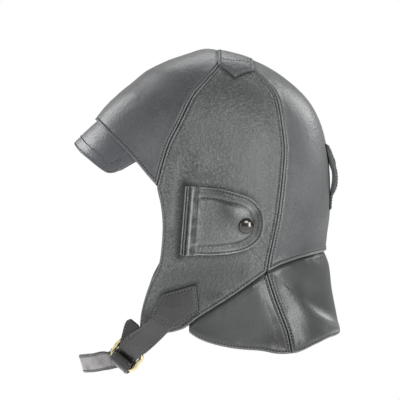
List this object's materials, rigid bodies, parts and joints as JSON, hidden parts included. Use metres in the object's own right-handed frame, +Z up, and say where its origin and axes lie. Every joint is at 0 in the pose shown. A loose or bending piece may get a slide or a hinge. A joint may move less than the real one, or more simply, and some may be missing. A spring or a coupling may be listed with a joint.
{
  "type": "leather motoring helmet",
  "caption": "Close-fitting leather driving helmet with sewn gores, short visor, snap ear covers, neck curtain and a buckled chin strap.",
  "frame": {"origin": "inner top of the crown, where the wearer's head holds the helmet up", "axes": "+Z up, -Y the way the wearer looks, +X the wearer's left, the side with the buckle"},
  "size_m": [0.1836, 0.2386, 0.2926],
  "materials": {
    "crown_leather": "smooth grey-black leather, satin",
    "curtain_leather": "smooth grey-black leather, satin",
    "visor_leather": "smooth grey-black leather, satin",
    "cover_leather": "smooth grey-black leather, satin",
    "strap_leather": "smooth grey-black strap leather",
    "buckle_brass": "polished brass wire",
    "snap_cap": "dark polished metal cap"
  },
  "bodies": {
    "root": {"front_panel_left": "crown_leather", "front_panel_right": "crown_leather", "side_panel_left": "crown_leather", "side_panel_right": "crown_leather", "back_panel_left": "crown_leather", "back_panel_right": "crown_leather", "curtain_side_left": "curtain_leather", "curtain_side_right": "curtain_leather", "curtain_back": "curtain_leather", "crown_patch": "crown_leather", "visor": "visor_leather", "ear_cover_left": "cover_leather", "ear_cover_right": "cover_leather", "ear_snap_left": "snap_cap", "ear_snap_right": "snap_cap", "goggle_tab_snap": "snap_cap", "strap_patch_left": "cover_leather", "strap_patch_right": "cover_leather", "buckle_strap": "strap_leather", "chin_strap": "strap_leather", "goggle_tab": "strap_leather", "buckle_frame": "buckle_brass"}
  },
  "joints": []
}
